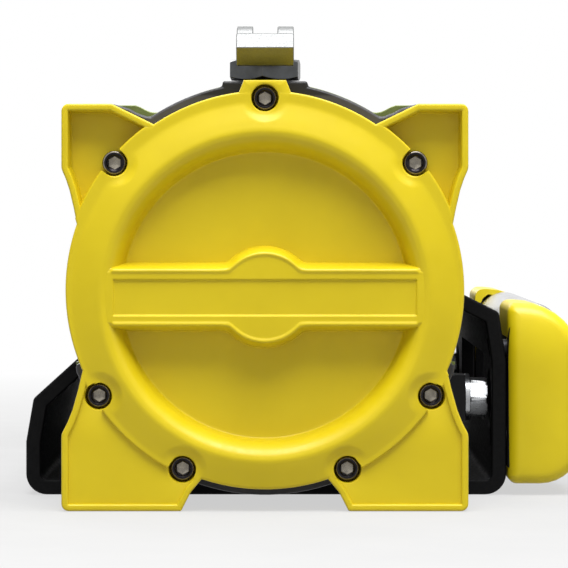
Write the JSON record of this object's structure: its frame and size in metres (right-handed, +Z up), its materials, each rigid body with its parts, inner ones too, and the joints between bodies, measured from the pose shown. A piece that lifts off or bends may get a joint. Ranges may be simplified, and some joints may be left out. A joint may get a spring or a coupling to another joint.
{
  "type": "electric recovery winch",
  "caption": "Electric recovery winch with a yellow gear end cover, planetary gearbox, flip-lever clutch, rope drum, motor, bent-plate mounting channel and four-way roller fairlead.",
  "frame": {"origin": "centre of the channel's four vehicle holes, on the underside of the channel", "axes": "+Z up, +Y along the drum axis from the gear end to the motor end, +X to the fairlead side"},
  "size_m": [0.2408, 0.5611, 0.2007],
  "materials": {
    "yellow_coat": "gloss powder coat",
    "yellow_plastic": "gloss moulded nylon",
    "black_coat": "satin powder coat",
    "dark_casting": "satin grey paint",
    "olive_plating": "olive passivated zinc plate",
    "black_oxide_steel": "black oxide",
    "zinc_steel": "bright zinc plate",
    "screw_steel": "dark zinc plate",
    "gear_steel": "ground and oiled",
    "roller_steel": "zinc-plated tube",
    "bright_aluminium": "polished casting",
    "drum_steel": "satin grey paint",
    "bronze": "sintered bearing bronze",
    "brass_plate": "brass",
    "copper": "varnished copper and iron",
    "gasket_fibre": "matt",
    "ferrite": "ground ferrite",
    "phenolic": "moulded phenolic",
    "carbon": "pressed carbon"
  },
  "bodies": {
    "root": {"mounting_channel": "black_coat", "foot_screws": "black_oxide_steel", "foot_nuts": "zinc_steel", "side_bolts": "zinc_steel", "side_washers": "zinc_steel", "gear_end_cover": "yellow_coat", "cover_screws": "screw_steel", "cover_gasket": "gasket_fibre", "ring_gear_housing": "dark_casting", "adapter_plate": "olive_plating", "gear_side_support": "black_coat", "motor_side_support": "black_coat", "tie_bolts": "screw_steel", "drum_bushings": "bronze", "ring_gear": "gear_steel", "motor_housing": "black_coat", "motor_end_bell": "yellow_coat", "motor_bolts": "screw_steel", "field_magnets": "ferrite", "brush_plate": "phenolic", "brushes": "carbon", "motor_bearings": "gear_steel", "terminal_studs": "brass_plate", "terminal_nuts": "brass_plate", "clutch_body": "black_oxide_steel", "clutch_spring": "zinc_steel", "fairlead_brackets": "black_coat", "fairlead_caps": "yellow_plastic", "fairlead_screws": "black_oxide_steel", "roller_pins": "zinc_steel"},
    "drum": {"drum": "drum_steel", "rope_anchor_screw": "black_oxide_steel", "output_carrier": "gear_steel", "output_planet_pins": "gear_steel"},
    "middle_carrier": {"middle_carrier": "gear_steel", "middle_planet_pins": "gear_steel", "output_sun": "gear_steel"},
    "input_carrier": {"input_carrier": "gear_steel", "input_planet_pins": "gear_steel", "middle_sun": "gear_steel"},
    "armature": {"drive_shaft": "gear_steel", "armature_shaft": "gear_steel", "armature_core": "copper", "commutator": "copper"},
    "clutch_plunger": {"clutch_plunger": "zinc_steel"},
    "clutch_lever": {"clutch_lever": "bright_aluminium", "lever_pin": "zinc_steel"},
    "top_roller": {"top_roller": "roller_steel"},
    "bottom_roller": {"bottom_roller": "roller_steel"},
    "gear_end_roller": {"gear_end_roller": "roller_steel"},
    "motor_end_roller": {"motor_end_roller": "roller_steel"},
    "output_planet_a": {"output_planet_a": "gear_steel"},
    "output_planet_b": {"output_planet_b": "gear_steel"},
    "output_planet_c": {"output_planet_c": "gear_steel"},
    "middle_planet_a": {"middle_planet_a": "gear_steel"},
    "middle_planet_b": {"middle_planet_b": "gear_steel"},
    "middle_planet_c": {"middle_planet_c": "gear_steel"},
    "input_planet_a": {"input_planet_a": "gear_steel"},
    "input_planet_b": {"input_planet_b": "gear_steel"},
    "input_planet_c": {"input_planet_c": "gear_steel"}
  },
  "joints": [
    {"name": "drum_spin", "type": "hinge", "parent": "root", "child": "drum", "pos_m": [0, 0, 0.0906], "axis": [0, 1, 0], "continuous": true},
    {"name": "middle_carrier_spin", "type": "hinge", "parent": "root", "child": "middle_carrier", "pos_m": [0, -0.16, 0.0906], "axis": [0, 1, 0], "continuous": true},
    {"name": "input_carrier_spin", "type": "hinge", "parent": "root", "child": "input_carrier", "pos_m": [0, -0.18, 0.0906], "axis": [0, 1, 0], "continuous": true},
    {"name": "armature_spin", "type": "hinge", "parent": "root", "child": "armature", "pos_m": [0, 0.2, 0.0906], "axis": [0, 1, 0], "continuous": true},
    {"name": "output_planet_a_spin", "type": "hinge", "parent": "drum", "child": "output_planet_a", "pos_m": [0, -0.15, 0.1296], "axis": [0, 1, 0], "continuous": true},
    {"name": "output_planet_b_spin", "type": "hinge", "parent": "drum", "child": "output_planet_b", "pos_m": [-0.03377, -0.15, 0.0711], "axis": [0, 1, 0], "continuous": true},
    {"name": "output_planet_c_spin", "type": "hinge", "parent": "drum", "child": "output_planet_c", "pos_m": [0.03377, -0.15, 0.0711], "axis": [0, 1, 0], "continuous": true},
    {"name": "middle_planet_a_spin", "type": "hinge", "parent": "middle_carrier", "child": "middle_planet_a", "pos_m": [0, -0.15, 0.1296], "axis": [0, 1, 0], "continuous": true},
    {"name": "middle_planet_b_spin", "type": "hinge", "parent": "middle_carrier", "child": "middle_planet_b", "pos_m": [-0.03377, -0.15, 0.0711], "axis": [0, 1, 0], "continuous": true},
    {"name": "middle_planet_c_spin", "type": "hinge", "parent": "middle_carrier", "child": "middle_planet_c", "pos_m": [0.03377, -0.15, 0.0711], "axis": [0, 1, 0], "continuous": true},
    {"name": "input_planet_a_spin", "type": "hinge", "parent": "input_carrier", "child": "input_planet_a", "pos_m": [0, -0.15, 0.1296], "axis": [0, 1, 0], "continuous": true},
    {"name": "input_planet_b_spin", "type": "hinge", "parent": "input_carrier", "child": "input_planet_b", "pos_m": [-0.03377, -0.15, 0.0711], "axis": [0, 1, 0], "continuous": true},
    {"name": "input_planet_c_spin", "type": "hinge", "parent": "input_carrier", "child": "input_planet_c", "pos_m": [0.03377, -0.15, 0.0711], "axis": [0, 1, 0], "continuous": true},
    {"name": "lever_flip", "type": "hinge", "parent": "clutch_plunger", "child": "clutch_lever", "pos_m": [0, -0.1834, 0.1931], "axis": [-1, 0, 0], "range_deg": [0, 90]},
    {"name": "plunger_slide", "type": "slide", "parent": "root", "child": "clutch_plunger", "axis": [0, 0, 1], "range_m": [0, 0.005], "deforming": ["clutch_spring"]},
    {"name": "top_roller_spin", "type": "hinge", "parent": "root", "child": "top_roller", "pos_m": [0.1192, 0, 0.068], "axis": [0, 1, 0], "continuous": true},
    {"name": "bottom_roller_spin", "type": "hinge", "parent": "root", "child": "bottom_roller", "pos_m": [0.1192, 0, 0.0197], "axis": [0, 1, 0], "continuous": true},
    {"name": "gear_end_roller_spin", "type": "hinge", "parent": "root", "child": "gear_end_roller", "pos_m": [0.1192, -0.1082, 0.0438], "axis": [0, 0, 1], "continuous": true},
    {"name": "motor_end_roller_spin", "type": "hinge", "parent": "root", "child": "motor_end_roller", "pos_m": [0.1192, 0.1082, 0.0438], "axis": [0, 0, 1], "continuous": true}
  ],
  "couplings": [
    {"joint": "middle_carrier_spin", "follows": "drum_spin", "ratio": 5},
    {"joint": "input_carrier_spin", "follows": "drum_spin", "ratio": 25},
    {"joint": "armature_spin", "follows": "drum_spin", "ratio": 125},
    {"joint": "output_planet_a_spin", "follows": "drum_spin", "ratio": -2.6667},
    {"joint": "output_planet_b_spin", "follows": "drum_spin", "ratio": -2.6667},
    {"joint": "output_planet_c_spin", "follows": "drum_spin", "ratio": -2.6667},
    {"joint": "middle_planet_a_spin", "follows": "drum_spin", "ratio": -13.333},
    {"joint": "middle_planet_b_spin", "follows": "drum_spin", "ratio": -13.333},
    {"joint": "middle_planet_c_spin", "follows": "drum_spin", "ratio": -13.333},
    {"joint": "input_planet_a_spin", "follows": "drum_spin", "ratio": -66.667},
    {"joint": "input_planet_b_spin", "follows": "drum_spin", "ratio": -66.667},
    {"joint": "input_planet_c_spin", "follows": "drum_spin", "ratio": -66.667},
    {"joint": "lever_flip", "follows": "plunger_slide", "rad_per_m": 314.16}
  ]
}
